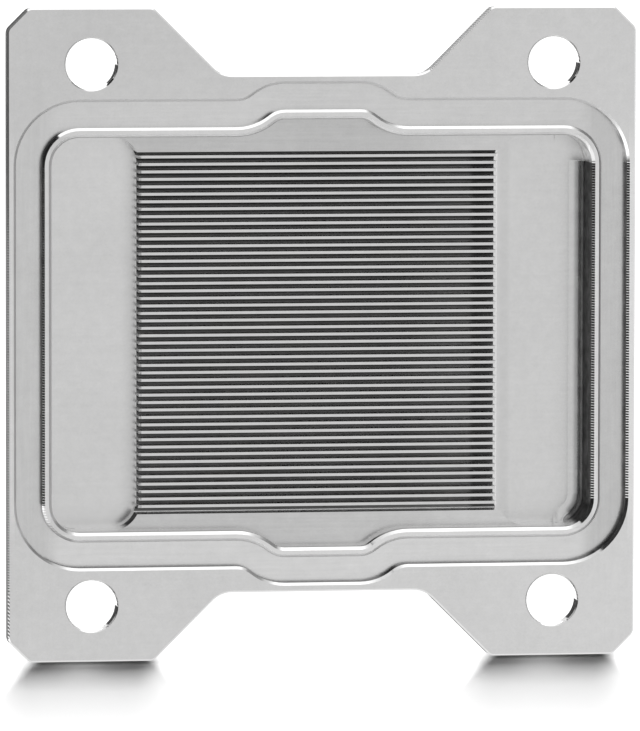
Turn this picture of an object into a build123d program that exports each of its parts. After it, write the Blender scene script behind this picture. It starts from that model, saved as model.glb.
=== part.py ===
"""Cold plate of a CPU water block: one plate of nickel-plated copper, machined from solid.

It lies on its contact face, which is at Z = 0. The finned side faces up, X runs along the fins
and Y across them. All sizes are in millimetres.
"""
import os
from math import atan, degrees, sin

from build123d import *

# Flange: a thin plate with four ears
plate_width = 68.0
plate_length = 70.0
flange_thickness = 2.0
ear_corner_cut = 2.3
ear_corner_radius = 1.0
notch_depth = 7.25
notch_floor_width = 22.1
notch_floor_radius = 3.0
edge_break = 0.18

# Screw holes, one in each ear, placed from the ear's two sides
hole_side_margin = 9.0
hole_end_margin = 6.0
hole_diameter = 5.5
hole_edge_break = 0.15

# Contact pedestal under the flange
pedestal_height = 5.5
pedestal_margin = 1.2
pedestal_edge_break = 0.4

# Gasket groove: the rim is its outer edge on the flange's face
land_width = 0.65
rim_corner_radius = 7.15
groove_width = 3.35
groove_depth = 1.5
groove_edge_break = 0.28

# The groove swells outwards in the middle of both long sides
swell_rise = 1.85
swell_flat = 8.2
swell_run = 5.25

# Ridge between the groove and the recess
ridge_flat = 0.42
ridge_inner_break = 0.32

# Recess, header pockets and channels, each depth measured from the flange's face
recess_depth = 2.5
plateau_width = 1.71
pocket_depth = 6.2
pocket_floor_radius = 1.45
fin_top_depth = 3.7
channel_depth = 2.0
channel_width = 0.5
fin_thickness = 0.3
fin_length = 38.9
fin_offset = 0.07

# Heights and places that follow from the sizes above
top = pedestal_height + flange_thickness
half_width = plate_width / 2
half_length = plate_length / 2
notch_floor = half_length - notch_depth
hole_spacing_x = plate_width - 2 * hole_side_margin
hole_spacing_y = plate_length - 2 * hole_end_margin
rim_half_width = half_width - land_width
rim_half_length = notch_floor - land_width - swell_rise
recess_inset = groove_width + ridge_flat + ridge_inner_break
recess_half_width = rim_half_width - recess_inset
recess_half_length = rim_half_length - recess_inset
recess_corner_radius = rim_corner_radius - recess_inset
outer_corner_place = recess_half_width - recess_corner_radius
pocket_width = recess_half_width - fin_length / 2
pocket_place = (recess_half_width + fin_length / 2) / 2

# As many channels as the floor between the two plateaus takes
channel_pitch = channel_width + fin_thickness
fin_count = round((2 * (recess_half_length - plateau_width) - channel_width) / channel_pitch)
field_width = fin_count * channel_pitch + channel_width
field_length = fin_length + 2 * recess_corner_radius

# Two places that lie closer than this are the same
tolerance = 0.001


def flange_outline():
    """The ears' outline as a closed polyline, one quarter mirrored twice."""
    flank_foot = notch_floor_width / 2
    with BuildLine() as outline:
        Polyline(
            (0, notch_floor),
            (flank_foot, notch_floor),
            (flank_foot + notch_depth, half_length),
            (half_width - ear_corner_cut, half_length),
            (half_width, half_length - ear_corner_cut),
            (half_width, 0),
        )
        mirror(about=Plane.YZ)
        mirror(about=Plane.XZ)
    return outline.line


def seal_outline(inset):
    """A closed line that runs parallel to the groove's rim, inset from it towards the middle."""
    half_x = rim_half_width - inset
    half_y = rim_half_length - inset
    sweep_angle = 2 * atan(swell_rise / swell_run)
    middle_radius = swell_run / (2 * sin(sweep_angle))
    from_middle = groove_width / 2 - inset
    with BuildLine() as outline:
        crest = Line((0, half_y + swell_rise), (swell_flat / 2, half_y + swell_rise))
        shoulder = JernArc(crest @ 1, crest % 1, middle_radius + from_middle, -degrees(sweep_angle))
        foot = JernArc(shoulder @ 1, shoulder % 1, middle_radius - from_middle, degrees(sweep_angle))
        side = Line(foot @ 1, (half_x - (rim_corner_radius - inset), half_y))
        corner = JernArc(side @ 1, side % 1, rim_corner_radius - inset, -90)
        Line(corner @ 1, (half_x, 0))
        mirror(about=Plane.YZ)
        mirror(about=Plane.XZ)
    return outline.line


with BuildPart() as cold_plate:
    # Flange with its ears
    with BuildSketch(Plane.XY.offset(pedestal_height)) as flange:
        with BuildLine():
            add(flange_outline())
        make_face()
        feet = flange.vertices().filter_by(
            lambda v: abs(abs(v.Y) - notch_floor) < tolerance and abs(v.X) > tolerance)
        fillet(feet, notch_floor_radius)
        tips = flange.vertices().filter_by(
            lambda v: abs(v.Y) > half_length - ear_corner_cut - tolerance)
        fillet(tips, ear_corner_radius)
    extrude(amount=flange_thickness)
    for face in (cold_plate.faces().sort_by(Axis.Z)[0], cold_plate.faces().sort_by(Axis.Z)[-1]):
        chamfer(face.outer_wire().edges(), edge_break)

    # Screw holes
    with Locations((0, 0, top)):
        with GridLocations(hole_spacing_x, hole_spacing_y, 2, 2):
            Hole(hole_diameter / 2, depth=flange_thickness)
    hole_edges = cold_plate.edges().filter_by(GeomType.CIRCLE)
    hole_edges = hole_edges.filter_by(lambda e: abs(e.radius - hole_diameter / 2) < tolerance)
    chamfer(hole_edges, hole_edge_break)

    # Contact pedestal
    with BuildSketch(Plane.XY) as pedestal:
        RectangleRounded(
            2 * (rim_half_width - pedestal_margin),
            2 * (rim_half_length - pedestal_margin),
            rim_corner_radius - pedestal_margin,
        )
    extrude(amount=pedestal_height)
    chamfer(cold_plate.faces().sort_by(Axis.Z)[0].outer_wire().edges(), pedestal_edge_break)

    # Gasket groove, with its two rims broken
    with BuildSketch(Plane.XY.offset(top)) as groove:
        with BuildLine():
            add(seal_outline(groove_edge_break))
        make_face()
        with BuildLine():
            add(seal_outline(groove_width - groove_edge_break))
        make_face(mode=Mode.SUBTRACT)
    extrude(amount=-groove_depth, mode=Mode.SUBTRACT)
    middle = cold_plate.faces().group_by(Axis.Z)[-1].sort_by(SortBy.AREA)[-1]
    chamfer(middle.outer_wire().edges(), groove_edge_break)
    land = cold_plate.faces().group_by(Axis.Z)[-1].sort_by(SortBy.AREA)[0]
    chamfer(land.inner_wires().sort_by(SortBy.LENGTH)[-1].edges(), groove_edge_break)

    # Recess inside the ridge
    with BuildSketch(Plane.XY.offset(top)) as recess:
        with BuildLine():
            add(seal_outline(recess_inset))
        make_face()
    extrude(amount=-recess_depth, mode=Mode.SUBTRACT)
    ridge = cold_plate.faces().group_by(Axis.Z)[-1].sort_by(SortBy.AREA)[0]
    chamfer(ridge.inner_wires()[0].edges(), ridge_inner_break)

    # Header pockets at both ends of the channels
    with BuildSketch(Plane.XY.offset(top)) as pockets:
        with GridLocations(2 * pocket_place, 0, 2, 1):
            RectangleRounded(pocket_width, 2 * recess_half_length, recess_corner_radius)
    extrude(amount=-pocket_depth, mode=Mode.SUBTRACT)
    pocket_floors = cold_plate.faces().filter_by(Axis.Z).filter_by(
        lambda f: abs(f.center().Z - (top - pocket_depth)) < tolerance)
    fillet(pocket_floors.edges(), pocket_floor_radius)

    # Up to their outer corners the pockets' walls meet their floors squarely
    with BuildSketch(Plane.XY.offset(top)) as square_floors:
        with GridLocations(2 * pocket_place, 0, 2, 1):
            RectangleRounded(pocket_width, 2 * recess_half_length, recess_corner_radius)
        Rectangle(2 * outer_corner_place, 2 * recess_half_length, mode=Mode.INTERSECT)
    extrude(amount=-pocket_depth, mode=Mode.SUBTRACT)

    # Fin field: lowered first, then sawn into channels, with the fins a little off its middle
    with BuildSketch(Plane.XY.offset(top)) as field:
        Rectangle(field_length, field_width)
    extrude(amount=-fin_top_depth, mode=Mode.SUBTRACT)
    with BuildSketch(Plane.XY.offset(top)) as channels:
        Rectangle(field_length, field_width)
        with Locations((0, fin_offset)):
            with GridLocations(0, channel_pitch, 1, fin_count):
                Rectangle(field_length, fin_thickness, mode=Mode.SUBTRACT)
    extrude(amount=-(fin_top_depth + channel_depth), mode=Mode.SUBTRACT)

cold_plate.part.label = "cold_plate"

os.makedirs("parts", exist_ok=True)
export_step(cold_plate.part, "parts/cold_plate.step")
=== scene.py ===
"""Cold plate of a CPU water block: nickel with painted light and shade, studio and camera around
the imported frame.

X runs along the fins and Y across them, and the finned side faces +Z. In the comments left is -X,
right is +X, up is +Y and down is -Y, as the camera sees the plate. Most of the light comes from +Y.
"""
import math
from types import SimpleNamespace

import bpy
from mathutils import Matrix, Vector

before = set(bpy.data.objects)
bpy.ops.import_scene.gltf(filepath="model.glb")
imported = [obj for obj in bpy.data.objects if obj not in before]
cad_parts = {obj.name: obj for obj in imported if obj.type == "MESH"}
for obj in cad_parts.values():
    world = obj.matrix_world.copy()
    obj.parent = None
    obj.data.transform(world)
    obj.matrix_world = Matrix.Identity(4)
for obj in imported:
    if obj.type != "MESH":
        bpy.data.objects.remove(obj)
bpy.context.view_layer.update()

# Levels of the machined faces above the floor, in millimetres
FACE = 7.5
GROOVE_FLOOR = 6.0
UNDERSIDE = 5.5
RECESS_FLOOR = 5.0
FIN_TOP = 3.8
FILLET_TOP = 2.75
CHANNEL_FLOOR = 1.8
POCKET_FLOOR = 1.3

# The sawn channels: their spacing, the middle of the row of fins, and where the fins end
CHANNEL_PITCH = 0.8
FIN_OFFSET = 0.07
FIN_END = 19.45

# Soft steps from one region to the next, in millimetres from the plate's middle
PLATE_EDGE = (33.6, 33.7)
NOTCH_EDGE = (27.4, 27.6)
LAND_RIGHT = (33.2, 33.3)
LAND_LEFT = (-33.2, -33.3)
LAND_ENDS = (17.0, 24.0)
HOLE_NEAR_X = (22.0, 22.1)
HOLE_FAR_X = (28.9, 29.0)
HOLE_NEAR_Y = (25.9, 26.0)
HOLE_FAR_Y = (32.5, 32.6)
RIDGE_OUTSIDE_X = (30.1, 30.2)
RIDGE_OUTSIDE_Y = (24.0, 24.1)
FIELD_EDGE_X = (19.76, 19.84)
FIELD_EDGE_Y = (19.50, 19.55)
PEDESTAL_EDGE_X = (29.6, 29.9)
PEDESTAL_EDGE_Y = (23.2, 23.4)
PEDESTAL_CORNER = (49.5, 50.0)
UPPER_END = (8.0, 20.0)
LEFT_CORNER = (-31.4, -31.6)
UPPER_CORNER = (32.4, 32.6)
RIDGE_LEFT = (-28.0, -28.5)
GROOVE_LOWER_WALL = (-23.8, -24.0)

# Stretches, from one place to the other
POCKET_LOWER_WALL = (-23.2, -21.0)
LEFT_POCKET_CORNER = (-23.0, -19.47)
LOWER_SWELLING = (2.0, 12.0)
RIDGE_X = (29.4, 30.1)
RIDGE_Y = (21.3, 24.0)
RIDGE_BREAK_RIGHT = (29.0, 29.8)

# Parts of a normal's x or y between which a face turns left or down
TURNED = (-0.3, -0.6)

# The places where the pockets' corners begin
CORNER_X = 26.2
CORNER_Y = 18.1

# The range of a noise in which its contrast is stretched
NOISE_RANGE = (0.35, 0.65)

# The metal: its tone, its tint in red, green and blue, and the roughness of each kind of face
NICKEL_TONE = 0.715
TINT = (1.0, 0.998, 0.996)
ROUGH_FLOOR = 0.22
ROUGH_WALL_LIT = 0.10
ROUGH_WALL_AWAY = 0.38
ROUGH_WALL_LEFT = 0.3
ROUGH_FLANK = 0.6
ROUGH_IN_CHANNEL = 0.25

# Spacing of the cutter's chatter in millimetres, and what x + y is times to run along a flank
CHATTER_PITCH = 0.285
DIAGONAL = 0.7071

# Brightness of the tent round the plate, where 1 is white
TENT = 0.81
PANEL = 1.7
CARD_END = 1.03
DARK_GAP = 0.02
TENT_ON_DULL = 0.05

# The floor, in metres: the lower ears' edge and middle as the camera sees them on it, how fast
# the shadow left by the floor's painted glow narrows downwards, and where the screw holes are
FLOOR_HALF_SIDE = 2.0
FLOOR_DROP = 0.00005
EARS_EDGE = -0.03583
EARS_MIDDLE = 0.0011
SHADOW_SLANT = 1.1
HOLE_X = 0.025
HOLE_Y = 0.029

# Where the camera stands: degrees round from straight above, and distances in millimetres
LOOK_LEFT = 8.5
LOOK_UP = 4.5
DISTANCE = 900.0
AIM = (-0.33, -3.42)
ROLL = 0.10
LENS = 413.4


class Nodes:
    """Short spellings for building a node tree."""

    def __init__(self, tree):
        self.tree = tree
        tree.nodes.clear()

    def add(self, kind, **settings):
        node = self.tree.nodes.new(kind)
        for name, value in settings.items():
            setattr(node, name, value)
        return node

    def put(self, socket, value):
        if isinstance(value, bpy.types.NodeSocket):
            self.tree.links.new(value, socket)
        elif value is not None:
            socket.default_value = value

    def math(self, operation, *values):
        node = self.add("ShaderNodeMath", operation=operation)
        for socket, value in zip(node.inputs, values):
            self.put(socket, value)
        return node.outputs[0]

    def plus(self, a, b):
        return self.math("ADD", a, b)

    def minus(self, a, b):
        return self.math("SUBTRACT", a, b)

    def times(self, first, *others):
        for value in others:
            first = self.math("MULTIPLY", first, value)
        return first

    def largest(self, first, *others):
        for value in others:
            first = self.math("MAXIMUM", first, value)
        return first

    def magnitude(self, value):
        return self.math("ABSOLUTE", value)

    def ramp(self, value, low, high, to_low=0.0, to_high=1.0):
        """A smooth step of value from low to high."""
        node = self.add("ShaderNodeMapRange", interpolation_type="SMOOTHSTEP")
        for socket, number in zip(node.inputs, (value, low, high, to_low, to_high)):
            self.put(socket, number)
        return node.outputs[0]

    def past(self, value, step):
        """1 once value has gone from the step's first place to its second."""
        return self.ramp(value, step[0], step[1])

    def before(self, value, step):
        """1 until value comes to the step."""
        return self.ramp(value, step[1], step[0])

    def band(self, value, low, high, soft):
        """1 between low and high, 0 outside, with soft edges."""
        rise = self.ramp(value, low - soft, low + soft)
        fall = self.ramp(value, high - soft, high + soft, 1.0, 0.0)
        return self.times(rise, fall)

    def near(self, value, middle, reach, soft):
        """1 within reach of the middle, with soft edges."""
        return self.band(value, middle - reach, middle + reach, soft)

    def mix(self, share, a, b):
        node = self.add("ShaderNodeMix", data_type="FLOAT")
        for socket, value in zip(node.inputs[:4], (share, None, a, b)):
            self.put(socket, value)
        return node.outputs[0]

    def noise(self, vector, scale, detail=2.0, rough=0.5, stretch=None):
        if stretch:
            node = self.add("ShaderNodeVectorMath", operation="MULTIPLY")
            self.put(node.inputs[0], vector)
            node.inputs[1].default_value = stretch
            vector = node.outputs[0]
        node = self.add("ShaderNodeTexNoise")
        self.put(node.inputs["Vector"], vector)
        node.inputs["Scale"].default_value = scale
        node.inputs["Detail"].default_value = detail
        node.inputs["Roughness"].default_value = rough
        return node.outputs[0]

    def contrast(self, noise, low, high):
        """A noise whose middle range is stretched from low to high."""
        return self.ramp(noise, *NOISE_RANGE, low, high)

    def split(self, vector):
        node = self.add("ShaderNodeSeparateXYZ")
        self.put(node.inputs[0], vector)
        return node.outputs

    def grey(self, levels):
        node = self.add("ShaderNodeCombineColor")
        for socket, level in zip(node.inputs, levels):
            self.put(socket, level)
        return node.outputs[0]


class ToneWithPaintedLight:
    """The metal's tone and its metallic share, changed one place after another, mostly by painted
    light and shade.
    """

    def __init__(self, nodes, tone, metallic):
        self.nodes = nodes
        self.tone = tone
        self.metallic = metallic

    def add(self, mask, amount):
        """Adds to the tone where the mask is 1."""
        self.tone = self.nodes.plus(self.tone, self.nodes.times(mask, amount))

    def scale(self, mask, tone, metallic=None):
        """Multiplies the tone where the mask is 1, and the metallic share if one is given."""
        g = self.nodes
        self.tone = g.times(self.tone, g.mix(mask, 1.0, tone))
        if metallic is not None:
            self.metallic = g.times(self.metallic, g.mix(mask, 1.0, metallic))

    def cover(self, mask, tone, metallic=None):
        """Puts a new tone where the mask is 1, and a new metallic share if one is given."""
        g = self.nodes
        self.tone = g.mix(mask, self.tone, tone)
        if metallic is not None:
            self.metallic = g.mix(mask, self.metallic, metallic)


def plate_places(g):
    """Places on the plate in millimetres, its normal, and masks for its machined faces."""
    place = g.add("ShaderNodeTexCoord")
    scaled = g.add("ShaderNodeVectorMath", operation="SCALE")
    g.put(scaled.inputs[0], place.outputs["Object"])
    scaled.inputs["Scale"].default_value = 1000.0
    at = SimpleNamespace(mm=scaled.outputs[0])
    at.x, at.y, at.z = g.split(at.mm)
    at.nx, at.ny, at.nz = g.split(place.outputs["Normal"])
    at.side_x = g.magnitude(at.x)
    at.side_y = g.magnitude(at.y)

    # How a face lies
    at.flat = g.ramp(at.nz, 0.99, 0.999)
    at.steep = g.ramp(at.nz, 0.30, 0.10)
    at.bevelled = g.band(at.nz, 0.5, 0.9, 0.05)
    at.broken = g.ramp(at.nz, 0.5, 0.6)
    at.facing_left = g.times(g.ramp(at.nx, -0.38, -0.50), g.ramp(at.nz, 0.995, 0.9))
    at.facing_up = g.times(at.steep, g.ramp(at.ny, 0.4, 0.7))

    # Regions: the plate's outer edges, what lies inside them, the ridge and the channels
    at.on_flank = g.past(at.side_y, NOTCH_EDGE)
    at.outer = g.largest(g.past(at.side_x, PLATE_EDGE), at.on_flank)
    at.beside_hole = g.times(g.before(at.side_x, HOLE_FAR_X), g.past(at.side_x, HOLE_NEAR_X))
    at.inner = g.largest(
        g.times(g.before(at.side_x, PLATE_EDGE), g.before(at.side_y, NOTCH_EDGE)),
        g.times(at.beside_hole, g.before(at.side_y, HOLE_FAR_Y)))
    at.within_ridge = g.times(g.before(at.side_x, RIDGE_OUTSIDE_X),
                              g.before(at.side_y, RIDGE_OUTSIDE_Y))
    at.upper_end = g.past(at.y, UPPER_END)
    at.deep = g.ramp(at.z, RECESS_FLOOR - 0.1, RECESS_FLOOR - 0.2)

    # Flat faces, each at its own level
    at.on_face = g.times(at.flat, g.ramp(at.z, FACE - 0.06, FACE - 0.02))
    at.on_groove = g.times(at.flat, g.near(at.z, GROOVE_FLOOR, 0.05, 0.02))
    at.on_plateau = g.times(at.flat, g.near(at.z, RECESS_FLOOR, 0.05, 0.02))
    at.on_fins = g.times(at.flat, g.near(at.z, FIN_TOP, 0.02, 0.01))
    on_crest = g.largest(g.band(at.side_x, *RIDGE_X, 0.05), g.band(at.side_y, *RIDGE_Y, 0.05))
    at.on_ridge = g.times(at.on_face, at.within_ridge, on_crest)

    # Where a place lies between two fins' middles, from -0.5 to 0.5, with each channel at 0
    across = g.plus(g.times(g.plus(at.y, -FIN_OFFSET), 1 / CHANNEL_PITCH), 0.5)
    at.across = g.plus(g.math("FRACT", across), -0.5)
    at.from_channel = g.magnitude(at.across)
    in_field = g.times(g.before(at.side_x, FIELD_EDGE_X), g.before(at.side_y, FIELD_EDGE_Y))
    below_tops = g.band(at.z, CHANNEL_FLOOR - 0.2, FIN_TOP - 0.04, 0.02)
    at.in_channel = g.times(below_tops, in_field, g.ramp(at.from_channel, 0.328, 0.320))
    return at


def add_fillet_fade(g, at):
    """The pockets' fillet fades into the floor at three of its ends, and is kept elsewhere."""
    at.seam = g.times(g.ramp(g.magnitude(at.nx), 0.90, 0.95),
                      g.near(at.side_x, CORNER_X, 0.03, 0.01))
    sloped = g.times(g.largest(g.ramp(at.nz, 0.03, 0.06), at.seam),
                     g.ramp(at.z, FILLET_TOP + 0.05, FILLET_TOP + 0.01))
    upper_corners = g.ramp(at.y, CORNER_Y - 0.05, CORNER_Y + 0.02)
    far_ends = g.ramp(at.side_x, 27.6, 26.4)
    lower_left = g.times(g.ramp(at.x, 1.0, -1.0), g.ramp(at.y, -17.0, -18.0))
    at.levelled = g.times(g.largest(upper_corners, far_ends, lower_left), sloped)
    at.kept = g.minus(1.0, at.levelled)


def add_left_walls(g, at):
    """Walls that face left, where shade is painted, without the pedestal's and nearly without two
    curved stretches.
    """
    wall = g.times(at.steep, at.kept, g.past(at.nx, TURNED))
    beyond = g.largest(g.past(at.side_x, PEDESTAL_EDGE_X), g.past(at.side_y, PEDESTAL_EDGE_Y),
                       g.past(g.plus(at.side_x, at.side_y), PEDESTAL_CORNER))
    pedestal = g.times(beyond, g.ramp(at.z, UNDERSIDE, UNDERSIDE - 0.05))
    pocket_corner = g.times(g.band(at.x, *LEFT_POCKET_CORNER, 0.02),
                            g.ramp(at.y, -17.5, -18.0),
                            g.ramp(at.z, POCKET_FLOOR + 1.2, POCKET_FLOOR + 0.8))
    swelling = g.times(g.band(at.x, *LOWER_SWELLING, 0.5), g.ramp(at.y, -20.5, -21.0),
                       g.ramp(at.y, -23.9, -23.6),
                       g.ramp(at.z, GROOVE_FLOOR + 0.5, GROOVE_FLOOR - 0.1))
    mostly_lit = g.largest(pocket_corner, swelling)
    at.left_wall = g.times(wall, g.minus(1.0, pedestal), g.mix(mostly_lit, 1.0, 0.12))


def add_metal_noise(g, at):
    """Unevenness of the plating, from wide to fine."""
    at.cloud = g.minus(g.noise(at.mm, scale=0.11, detail=3.0), 0.5)
    at.blotch = g.minus(g.noise(at.mm, scale=0.8, detail=3.0, rough=0.6), 0.5)
    at.grain = g.noise(at.mm, scale=5.0, rough=0.6)
    at.tear = g.noise(at.mm, scale=3.5, rough=0.7)


def add_chatter(g, at):
    """Edges that face left carry the cutter's chatter, a wave along the edge."""
    along = g.mix(at.on_flank, at.y, g.times(g.plus(at.x, at.y), DIAGONAL))
    wander = g.times(g.noise(at.mm, scale=0.35, detail=1.0), 3.0)
    at.tooth = g.math("SINE", g.plus(g.times(along, 2 * math.pi / CHATTER_PITCH), wander))
    upper_edges = g.times(at.broken, g.ramp(at.z, FACE - 0.42, FACE - 0.38))
    marked = g.largest(upper_edges, at.outer)
    stronger_on_ridge = g.times(g.band(at.x, *RIDGE_BREAK_RIGHT, 0.05), 0.09)
    stronger_on_rim = g.times(g.ramp(at.x, 32.0, 32.5), 0.10)
    inside = g.plus(g.plus(0.22, stronger_on_ridge), stronger_on_rim)
    inside = g.times(inside, g.ramp(at.side_y, CORNER_Y + 0.3, CORNER_Y - 0.1))
    strength = g.mix(at.outer, inside, g.mix(at.on_flank, 0.4, 1.0))
    upper_left = g.times(g.ramp(at.x, -33.0, -33.5), at.upper_end)
    strength = g.times(strength, g.mix(upper_left, 1.0, 0.15))
    at.chatter = g.times(at.facing_left, marked, strength, at.tooth)


def surface_normal(g, at):
    """Bump for chatter, grain and rounded upper edges, and the floor's normal on a faded fillet."""
    above_break = g.largest(g.minus(at.z, FACE - 0.34), 0.0)
    height = g.plus(g.times(at.chatter, 0.009), g.times(at.grain, 0.0006))
    height = g.minus(height, g.times(above_break, 0.055))
    bump = g.add("ShaderNodeBump")
    bump.inputs["Strength"].default_value = 1.0
    bump.inputs["Distance"].default_value = 0.001
    g.put(bump.inputs["Height"], height)
    upright = g.add("ShaderNodeMix", data_type="VECTOR")
    g.put(upright.inputs[0], at.seam)
    g.put(upright.inputs[4], (0.0, 0.0, 1.0))
    g.put(upright.inputs[5], (-0.15, 0.08, 0.985))
    normal = g.add("ShaderNodeMix", data_type="VECTOR")
    g.put(normal.inputs[0], at.levelled)
    g.put(normal.inputs[4], bump.outputs[0])
    g.put(normal.inputs[5], upright.outputs[1])
    return normal.outputs[1]


def shade_left_walls(g, at, tone_with_painted_light):
    """Painted shade on walls that face left, with less metallic share: scored grey on the flanks,
    darker at the upper left and inside.
    """
    square_on = g.ramp(at.nx, -0.80, -0.95)
    corner_cut = g.times(g.past(at.x, LEFT_CORNER), g.past(at.y, UPPER_CORNER))
    lower_flank = g.past(at.ny, TURNED)
    # Painted shade on the outer walls, broken by the chatter's teeth
    scored_and_shaded = g.plus(0.62, g.times(at.tooth, 0.22))
    outside = g.mix(square_on, g.mix(corner_cut, scored_and_shaded, 0.20), g.mix(at.upper_end, 0.42, 0.24))
    outside = g.mix(lower_flank, outside, 0.10)
    outside_metallic = g.mix(square_on, g.mix(corner_cut, 0.85, 0.25),
                             g.mix(at.upper_end, 0.45, 0.30))
    outside_metallic = g.mix(lower_flank, outside_metallic, 0.15)
    # Painted shade on the inner walls, deepest where they also face up
    turned_down = g.ramp(at.ny, -0.02, -0.12)
    inside = g.mix(turned_down, g.ramp(at.ny, 0.10, 0.30, 0.18, 0.06), 0.90)
    inside_metallic = g.mix(turned_down, g.ramp(at.ny, 0.10, 0.30, 0.30, 0.12), 1.0)
    tone_with_painted_light.scale(at.left_wall, tone=g.mix(at.inner, outside, inside),
                 metallic=g.mix(at.inner, outside_metallic, inside_metallic))


def shade_milled_faces(g, at, tone_with_painted_light):
    """Tool streaks along the groove and the plateaus, painted light and shade in the groove,
    painted shade on the plateaus, a light ridge and light rims.
    """
    beside = g.ramp(at.side_x, 28.0, 30.0)
    # Painted light and shade in the groove: lighter along its lower run, darker along its left and
    # right runs, most on the right
    groove_ends = g.ramp(at.y, -5.0, 5.0, 0.050, -0.008)
    groove_sides = g.ramp(at.x, -5.0, 5.0, -0.06, -0.09)
    tone_with_painted_light.add(at.on_groove, g.mix(beside, groove_ends, groove_sides))
    along_x, along_y = (g.noise(at.mm, scale=1.0, detail=3.0, rough=0.6, stretch=stretch)
                        for stretch in ((0.12, 2.6, 1.0), (2.6, 0.12, 1.0)))
    streak = g.minus(g.mix(beside, along_x, along_y), 0.5)
    milled = g.largest(at.on_groove, at.on_plateau)
    tone_with_painted_light.add(streak, g.plus(0.04, g.times(milled, 0.06)))
    # Painted shade on the plateaus, deeper towards the top and weaker at the right end
    darker_above = g.ramp(at.y, -5.0, 5.0, -0.08, -0.12)
    tone_with_painted_light.add(at.on_plateau, g.times(darker_above, g.mix(g.ramp(at.x, 8.0, 17.0), 1.0, 0.25)))
    tone_with_painted_light.add(at.on_ridge, 0.07)
    for side, lighter in ((LAND_RIGHT, 0.11), (LAND_LEFT, 0.06)):
        rim = g.times(at.on_face, g.past(at.x, side), g.before(at.side_y, LAND_ENDS))
        tone_with_painted_light.add(rim, lighter)


def shade_pockets(g, at, tone_with_painted_light):
    """The fillets: painted light at the left and the ends, painted shade as they turn up at the
    right.
    """
    in_pocket = g.times(at.deep, at.kept)
    # Painted light on sloped faces in the pockets that don't face left, as light as the floor that
    # they mirror
    painted_light_fillets = g.times(in_pocket, g.ramp(at.nz, 0.85, 0.60), g.ramp(at.nx, -0.35, -0.1))
    tone_with_painted_light.cover(painted_light_fillets, tone=0.96)
    # Painted shade where the fillets face left, deeper as they turn up
    turning = g.times(in_pocket, g.ramp(at.nx, -0.03, -0.12), g.ramp(at.nz, 0.05, 0.10))
    tone_with_painted_light.scale(turning, tone=g.ramp(at.nz, 0.99, 0.25, 0.92, 0.40))
    smudge = g.contrast(g.noise(at.mm, scale=0.7, detail=4.0, rough=0.65), 0.55, 1.45)
    smudge = g.mix(turning, smudge, g.plus(g.times(smudge, 0.4), 0.6))
    smudged = g.largest(g.times(at.left_wall, at.inner),
                        g.times(turning, g.ramp(at.nz, 0.9, 0.6)))
    tone_with_painted_light.scale(smudged, tone=smudge)
    # Painted shade on the pocket floor just before the left fin ends
    painted_shade_before_fins = g.times(g.ramp(at.x, -21.3, -19.3), g.ramp(at.x, 0.01 - FIN_END, -0.01 - FIN_END),
                          g.ramp(at.z, POCKET_FLOOR + 0.2, POCKET_FLOOR + 0.1))
    tone_with_painted_light.scale(painted_shade_before_fins, tone=0.84)


def shade_left_edges(g, at, tone_with_painted_light):
    """Scoring on the ridge's left side over painted shade, a painted dark break at the upper left,
    and painted shade on the combed break at the right.
    """
    at_left = g.past(at.x, RIDGE_LEFT)
    # Painted shade on the ridge's left wall, lighter towards its top, with the chatter's teeth
    lighter_above = g.ramp(at.z, GROOVE_FLOOR + 0.1, GROOVE_FLOOR + 1.1, 0.75, 1.30)
    scored_and_shaded_wall = g.plus(lighter_above, g.times(at.tooth, 0.12))
    tone_with_painted_light.scale(g.times(at.left_wall, at.inner, at_left), tone=scored_and_shaded_wall)
    left_break = g.times(at.facing_left, at.broken)
    scored_break = g.plus(1.05, g.times(at.tooth, 0.22))
    tone_with_painted_light.scale(g.times(left_break, at.inner, at_left), tone=scored_break)
    # Painted shade on the outer break at the upper left
    dark_edge = g.times(left_break, at.outer, at.upper_end, g.past(at.x, LEFT_CORNER))
    tone_with_painted_light.scale(dark_edge, tone=0.30, metallic=0.45)
    # Painted shade on the break at the right that carries the chatter's comb
    comb_painted_shade = g.times(at.facing_left, g.band(at.x, *RIDGE_BREAK_RIGHT, 0.05), at.bevelled, at.inner)
    tone_with_painted_light.scale(comb_painted_shade, tone=0.72)


def shade_upward_walls(g, at, tone_with_painted_light):
    """Walls that face up: the groove's is painted dark, the pockets' has a painted highlight at the
    foot and painted shade at the top.
    """
    groove_wall = g.times(at.facing_up, g.past(at.y, GROOVE_LOWER_WALL),
                          g.ramp(at.side_y, 27.4, 27.3))
    tone_with_painted_light.scale(groove_wall, tone=0.25, metallic=0.35)
    pocket_wall = g.times(at.facing_up, g.band(at.y, *POCKET_LOWER_WALL, 0.05),
                          g.ramp(at.z, POCKET_FLOOR - 0.10, POCKET_FLOOR - 0.05))
    foot = g.ramp(at.z, POCKET_FLOOR + 1.6, POCKET_FLOOR + 0.9, 0.0, 0.06)
    top = g.ramp(at.z, FACE - 1.5, FACE - 0.9, 0.0, -0.40)
    lines = g.plus(foot, top)
    tone_with_painted_light.scale(pocket_wall, tone=g.plus(1.0, g.times(lines, 1.4)), metallic=g.plus(1.0, lines))


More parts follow.
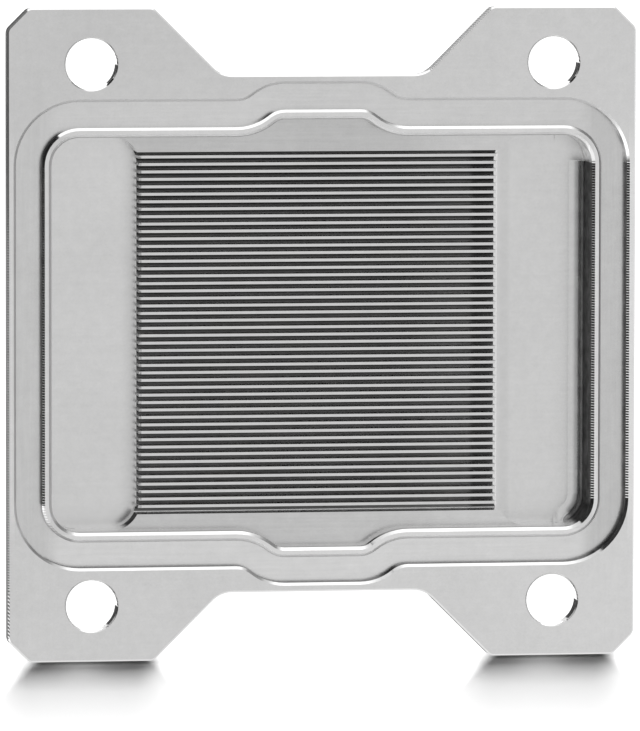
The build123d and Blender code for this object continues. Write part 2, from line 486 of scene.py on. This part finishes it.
def shade_ridge_breaks(g, at, tone_with_painted_light):
    """Breaks beside the ridge, with light or shade painted on them by the way that they face."""
    inner_break = g.times(at.within_ridge, at.bevelled, g.ramp(at.z, FACE - 0.5, FACE - 0.4))

    # Painted highlight where they face down, with a painted dark line at the foot
    facing_down = g.times(inner_break, g.ramp(at.ny, -0.3, -0.5))
    tone_with_painted_light.scale(facing_down, tone=g.ramp(at.z, FACE - 0.27, FACE - 0.22, 0.60, 1.16))

    # Painted shade at the lower left, and where they face up and a little to the right
    high_break = g.times(at.bevelled, g.ramp(at.z, FACE - 0.40, FACE - 0.35))
    lower_left = g.times(high_break, at.within_ridge, g.ramp(at.x, -24.0, -25.0),
                         g.ramp(at.nx, -0.1, -0.2), g.ramp(at.ny, -0.01, -0.04))
    tone_with_painted_light.scale(lower_left, tone=0.62)
    facing_up_right = g.times(high_break, g.ramp(at.ny, 0.3, 0.5), g.ramp(at.nx, 0.08, 0.25),
                              g.ramp(at.side_y, 27.2, 27.1))
    tone_with_painted_light.scale(facing_up_right, tone=0.50)

    # Painted shade along the top of the break on the right
    facing_right = g.times(inner_break, g.ramp(at.nx, 0.5, 0.65), g.ramp(at.x, 1.0, 2.0))
    tone_with_painted_light.scale(facing_right, tone=g.ramp(at.z, FACE - 0.16, FACE - 0.11, 1.08, 0.40))


def shade_channels(g, at, tone_with_painted_light):
    """Sawn channels, which surface_roughness makes dull: painted shade on the floor, darkest below
    the fin's shaded side, lighter towards the right and dark near its end, and painted light on the
    walls that face up.
    """
    leaning = g.plus(at.across, g.times(at.y, 0.004))
    shade = g.ramp(leaning, -0.20, 0.10, 0.20, 0.045)
    lighter_then_dark = g.times(g.ramp(at.x, 9.0, 15.0, 1.0, 1.40),
                                g.ramp(at.x, 16.6, 17.4, 1.0, 0.40))
    uneven = g.noise(at.mm, scale=0.9, detail=3.0, rough=0.6, stretch=(0.15, 1.0, 1.0))
    shade = g.times(shade, lighter_then_dark, g.plus(0.6, g.times(uneven, 0.8)))
    tone_with_painted_light.cover(at.in_channel, tone=g.mix(at.facing_up, shade, 1.0))


def shade_fin_tips(g, at, tone_with_painted_light):
    """Fin tops: a painted highlight at the right end, frayed at the left. Just beyond the right
    ends the floor has a painted highlight strip, then a faint band of painted shade.
    """
    right_end = g.times(at.on_fins, g.ramp(at.x, FIN_END - 0.12, FIN_END - 0.05))
    tone_with_painted_light.cover(right_end, tone=0.90)
    frayed = g.times(at.on_fins, g.ramp(at.x, 0.35 - FIN_END, 0.23 - FIN_END))
    tone_with_painted_light.scale(frayed, tone=g.contrast(at.tear, 0.40, 0.90))
    behind = g.times(g.ramp(at.z, POCKET_FLOOR + 0.10, POCKET_FLOOR + 0.05), at.flat)
    painted_highlight_strip = g.times(g.ramp(at.x, 19.98, 19.90), g.ramp(at.x, 19.0, 19.4))
    tone_with_painted_light.add(behind, g.times(painted_highlight_strip, 0.12))
    tone_with_painted_light.add(behind, g.times(g.band(at.x, 20.2, 21.2, 0.3), -0.04))


def shade_fin_ends(g, at, tone_with_painted_light):
    """Left fin ends: painted shade broken up by a torn pattern, with the step below each channel's
    mouth painted light.
    """
    at_ends = g.times(at.steep, g.ramp(at.nx, -0.8, -0.9),
                      g.near(at.x, -FIN_END, 0.05, 0.02))
    mouth = g.times(g.ramp(at.from_channel, 0.36, 0.30),
                    g.ramp(at.z, CHANNEL_FLOOR + 0.05, CHANNEL_FLOOR - 0.05))
    torn = g.contrast(at.tear, 0.08, 0.60)
    torn_metallic = g.ramp(torn, 0.05, 0.45, 0.15, 0.9)
    tone_with_painted_light.cover(at_ends, tone=g.mix(mouth, torn, 1.0), metallic=g.mix(mouth, torn_metallic, 1.0))


def shade_holes(g, at, tone_with_painted_light):
    """Screw holes: the wall is painted light, with painted shade only to the lower right, and its
    collar has painted shade to the right.
    """
    around_hole = g.times(at.beside_hole, g.past(at.side_y, HOLE_NEAR_Y))
    shaded = g.times(g.ramp(at.ny, 0.0, 0.05), g.ramp(at.nx, -0.62, -0.68))
    bore = g.times(around_hole, at.steep)
    tone_with_painted_light.cover(bore, tone=g.mix(shaded, 0.95, 0.10), metallic=g.mix(shaded, 1.0, 0.08))
    collar = g.times(around_hole, at.bevelled)
    upper_right = g.times(collar, g.past(at.nx, TURNED), g.ramp(at.ny, 0.0, -0.05))
    tone_with_painted_light.cover(upper_right, tone=0.25)
    tone_with_painted_light.cover(g.times(collar, shaded), tone=0.08, metallic=0.15)


def surface_roughness(g, at):
    """Satin floors, glossier walls towards the light, dull channels and left sides."""
    away = g.largest(g.ramp(at.nx, 0.2, 0.5), g.ramp(at.ny, -0.2, -0.5))
    rough = g.mix(g.largest(at.flat, at.deep), g.mix(away, ROUGH_WALL_LIT, ROUGH_WALL_AWAY),
                  ROUGH_FLOOR)
    rough = g.plus(rough, g.times(at.blotch, 0.08))
    rough = g.plus(rough, g.times(at.in_channel, ROUGH_IN_CHANNEL))
    rough = g.mix(at.left_wall, rough, ROUGH_WALL_LEFT)
    flank = g.times(at.facing_left, at.outer, at.on_flank, g.ramp(at.ny, 0.2, 0.4))
    return g.mix(flank, rough, ROUGH_FLANK)


def nickel():
    """Satin nickel on machined copper, with each face's own tool marks and with light and shade
    painted on face by face.
    """
    material = bpy.data.materials.new("nickel_plate")
    material.use_nodes = True
    g = Nodes(material.node_tree)
    at = plate_places(g)
    for prepare in (add_fillet_fade, add_left_walls, add_metal_noise, add_chatter):
        prepare(g, at)

    # Painted light: raised faces are a little lighter towards the lower right, as the light falls
    # across the plate
    tone = g.plus(NICKEL_TONE, g.times(at.cloud, 0.07))
    raised = g.ramp(at.z, GROOVE_FLOOR + 0.5, GROOVE_FLOOR + 1.0)
    tone = g.plus(tone, g.times(raised, g.minus(at.x, at.y), 0.0008))
    tone_with_painted_light = ToneWithPaintedLight(g, tone, 1.0)
    shade_left_walls(g, at, tone_with_painted_light)
    tone_with_painted_light.add(at.blotch, 0.09)
    tone_with_painted_light.add(g.minus(at.grain, 0.5), 0.06)
    for shade in (shade_milled_faces, shade_pockets, shade_left_edges, shade_upward_walls,
                  shade_ridge_breaks, shade_channels, shade_fin_tips, shade_fin_ends,
                  shade_holes):
        shade(g, at, tone_with_painted_light)

    shader = g.add("ShaderNodeBsdfPrincipled")
    shader.inputs["Specular IOR Level"].default_value = 0.0
    g.put(shader.inputs["Metallic"], tone_with_painted_light.metallic)
    g.put(shader.inputs["Base Color"], g.grey([g.times(tone_with_painted_light.tone, tint) for tint in TINT]))
    g.put(shader.inputs["Roughness"], surface_roughness(g, at))
    g.put(shader.inputs["Normal"], surface_normal(g, at))
    out = g.add("ShaderNodeOutputMaterial")
    g.put(out.inputs["Surface"], shader.outputs[0])
    return material


def studio():
    """White tent with a dark gap at the upper left, and a bright panel low beyond the top edge."""
    world = bpy.data.worlds.new("studio")
    bpy.context.scene.world = world
    world.use_nodes = True
    world.cycles.sampling_method = "NONE"
    g = Nodes(world.node_tree)
    place = g.add("ShaderNodeTexCoord")
    x, y, z = g.split(place.outputs["Generated"])

    # Degrees round from the left by way of -Y, and degrees above the horizon
    degree = 180 / math.pi
    turn = g.times(g.math("ARCTAN2", g.times(y, -1.0), g.times(x, -1.0)), degree)
    height = g.times(g.math("ARCSINE", z), degree)
    panel = g.times(g.band(turn, -125.0, -58.0, 3.0), g.ramp(height, 14.0, 11.0))
    card = g.times(g.band(turn, 10.5, 130.0, 1.5), g.ramp(height, 32.0, 22.0))
    low = g.plus(g.times(g.ramp(height, 75.0, 30.0), 0.65),
                 g.times(g.ramp(height, 22.0, 16.0), 0.35))
    gap = g.times(g.band(turn, -58.0, 8.5, 1.5), low)
    level = g.mix(panel, TENT, PANEL)
    level = g.mix(card, level, g.ramp(turn, 30.0, 55.0, PANEL, CARD_END))
    level = g.mix(gap, level, DARK_GAP)

    # The tent shows in gloss, and the camera sees plain white
    path = g.add("ShaderNodeLightPath")
    reflected = g.mix(path.outputs["Is Glossy Ray"], TENT_ON_DULL, level)
    background = g.add("ShaderNodeBackground")
    background.inputs["Color"].default_value = (1, 1, 1, 1)
    g.put(background.inputs["Strength"], g.mix(path.outputs["Is Camera Ray"], reflected, 1.0))
    out = g.add("ShaderNodeOutputWorld")
    g.put(out.inputs["Surface"], background.outputs[0])


def floor_painted_white(g, x, y, below):
    """1 where a painted glow makes the floor plain white for the camera over the plate's real
    shadow,
    0 in the shadow below the two lower ears.
    """
    from_middle = g.magnitude(g.plus(x, -EARS_MIDDLE))
    narrowing = g.times(below, SHADOW_SLANT)
    between_ears = g.ramp(g.plus(from_middle, narrowing), 0.0172, 0.0196, 1.0, 0.0)
    past_ears = g.ramp(g.minus(from_middle, narrowing), 0.0304, 0.0328)
    above = g.ramp(y, -0.0360, -0.0347)
    far_below = g.ramp(below, 0.015, 0.050)
    return g.largest(above, between_ears, past_ears, far_below)


def floor_painted_glow_in_gloss(g, x, y):
    """The floor's painted glow as the metal sees it: dark near the plate, standing in for its
    shadow, bright away from it and brightest under the holes.
    """
    side_x, side_y = g.magnitude(x), g.magnitude(y)
    away = g.largest(g.ramp(side_x, 0.0350, 0.0500), g.ramp(side_y, 0.0360, 0.0510))
    from_hole = g.largest(g.magnitude(g.plus(side_x, -HOLE_X)),
                          g.magnitude(g.plus(side_y, -HOLE_Y)))
    return g.largest(away, g.ramp(from_hole, 0.0042, 0.0036, 0.0, 2.4))


def floor():
    """Pale floor, painted white for the camera except below the lower ears, where a painted shadow
    darkens the lamps' real one.
    """
    mesh = bpy.data.meshes.new("floor")
    side = FLOOR_HALF_SIDE
    mesh.from_pydata([(-side, -side, 0), (side, -side, 0), (side, side, 0), (-side, side, 0)], [],
                     [(0, 1, 2, 3)])
    plane = bpy.data.objects.new("floor", mesh)
    bpy.context.scene.collection.objects.link(plane)
    plane.location.z = -FLOOR_DROP
    material = bpy.data.materials.new("pale_floor")
    material.use_nodes = True
    material.cycles.emission_sampling = "NONE"
    g = Nodes(material.node_tree)
    place = g.add("ShaderNodeTexCoord")
    x, y, _ = g.split(place.outputs["Object"])
    below = g.minus(EARS_EDGE, y)
    path = g.add("ShaderNodeLightPath")
    seen = path.outputs["Is Camera Ray"]

    # Painted shadow: for the camera the floor's colour is darkest right below the ears' edge and
    # fades downwards
    edge = g.ramp(below, 0.0001, 0.0005, 0.35, 1.0)
    near = g.ramp(below, 0.0002, 0.0014, 0.75, 1.04)
    far = g.ramp(below, 0.0010, 0.0060, 1.27, 1.18)
    gain = g.mix(seen, 0.8, g.times(edge, near, far))
    lit = g.add("ShaderNodeBsdfDiffuse")
    g.put(lit.inputs["Color"], g.grey([gain] * 3))

    # Painted glow: white for the camera outside the shadow, and a glow that only the metal's
    # reflections see
    glow = g.add("ShaderNodeEmission")
    white = g.times(seen, g.times(floor_painted_white(g, x, y, below), 1.1))
    mirrored = g.times(path.outputs["Is Glossy Ray"], g.times(floor_painted_glow_in_gloss(g, x, y), 0.45))
    g.put(glow.inputs["Strength"], g.plus(white, mirrored))
    both = g.add("ShaderNodeAddShader")
    g.put(both.inputs[0], lit.outputs[0])
    g.put(both.inputs[1], glow.outputs[0])
    out = g.add("ShaderNodeOutputMaterial")
    g.put(out.inputs["Surface"], both.outputs[0])
    mesh.materials.append(material)


def lamp(name, direction, distance, size, power):
    """A square soft box that points at the plate's middle."""
    light = bpy.data.lights.new(name, "AREA")
    light.shape = "SQUARE"
    light.size = size
    light.energy = power
    lamp_object = bpy.data.objects.new(name, light)
    bpy.context.scene.collection.objects.link(lamp_object)
    away = Vector(direction).normalized()
    lamp_object.location = away * distance
    lamp_object.rotation_mode = "QUATERNION"
    lamp_object.rotation_quaternion = away.to_track_quat("Z", "Y")
    lamp_object.visible_glossy = False


def camera():
    """Looks down on the plate, a little from its left and top, as the photograph does."""
    left, up = math.radians(LOOK_LEFT), math.radians(LOOK_UP)
    away = Vector((-math.sin(left) * math.cos(up), math.sin(up), math.cos(left) * math.cos(up)))
    aim = Vector((AIM[0], AIM[1], FACE)) / 1000
    data = bpy.data.cameras.new("camera")
    data.sensor_fit = "AUTO"
    data.sensor_width = 36.0
    data.lens = LENS
    data.clip_start = 0.05
    data.clip_end = 10.0
    seen = bpy.data.objects.new("camera", data)
    bpy.context.scene.collection.objects.link(seen)
    right = (-away).cross(Vector((0, 1, 0))).normalized()
    top = right.cross(-away)
    turn = math.radians(ROLL)
    right, top = (math.cos(turn) * right + math.sin(turn) * top,
                  -math.sin(turn) * right + math.cos(turn) * top)
    axes = Matrix((right, top, away)).transposed().to_4x4()
    seen.matrix_world = Matrix.Translation(aim + away * DISTANCE / 1000) @ axes
    bpy.context.scene.camera = seen


plate = bpy.data.objects["cold_plate"]
plate.data.materials.clear()
plate.data.materials.append(nickel())
floor()
studio()
lamp("key", (0.0, 0.34, 1.0), distance=0.9, size=0.28, power=4.9)
lamp("rim", (0.0, 0.82, 1.0), distance=0.9, size=0.36, power=3.6)
camera()
bpy.context.scene.view_settings.view_transform = "Standard"
